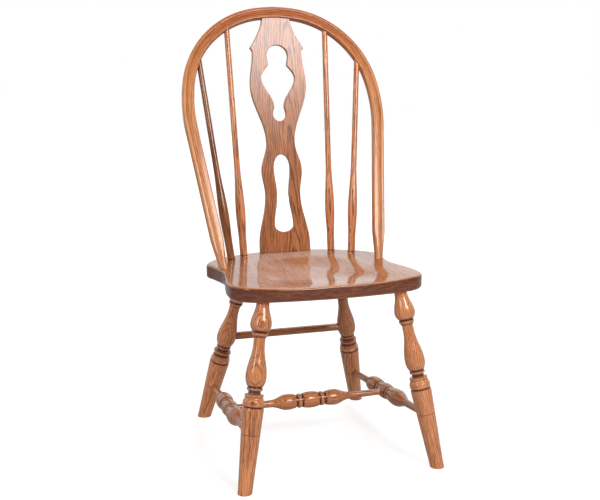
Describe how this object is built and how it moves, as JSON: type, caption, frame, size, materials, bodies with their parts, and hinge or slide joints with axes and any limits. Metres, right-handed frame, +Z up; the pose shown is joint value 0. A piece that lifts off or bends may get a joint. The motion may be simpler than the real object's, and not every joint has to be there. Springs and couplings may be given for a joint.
{
  "type": "fiddle back chair",
  "caption": "Oak side chair with a bent bow back, a pierced fiddle-shaped splat between turned spindles, a saddled seat, and turned legs joined by stretchers.",
  "frame": {"origin": "on the floor, under the middle of the chair's bounding box", "axes": "+Z up, -Y to the front, +X to the right of a viewer who faces the front; mirror plane at X = 0"},
  "size_m": [0.5382, 0.5746, 1.0944],
  "materials": {
    "seat_oak": "golden brown stained oak, glossy lacquer",
    "bow_oak": "golden brown stained oak, glossy lacquer",
    "splat_oak": "golden brown stained oak, glossy lacquer",
    "spindle_oak": "golden brown stained oak, glossy lacquer",
    "leg_oak": "golden brown stained oak, glossy lacquer",
    "stretcher_oak": "golden brown stained oak, glossy lacquer"
  },
  "bodies": {
    "root": {"seat_board_1": "seat_oak", "seat_board_2": "seat_oak", "seat_board_3": "seat_oak", "seat_board_4": "seat_oak", "seat_board_5": "seat_oak", "bow": "bow_oak", "splat": "splat_oak", "spindle_left_outer": "spindle_oak", "spindle_left_inner": "spindle_oak", "spindle_right_inner": "spindle_oak", "spindle_right_outer": "spindle_oak", "leg_front_left": "leg_oak", "leg_front_right": "leg_oak", "leg_rear_left": "leg_oak", "leg_rear_right": "leg_oak", "side_stretcher_left": "stretcher_oak", "side_stretcher_right": "stretcher_oak", "centre_stretcher": "stretcher_oak", "rear_stretcher": "stretcher_oak"}
  },
  "joints": []
}
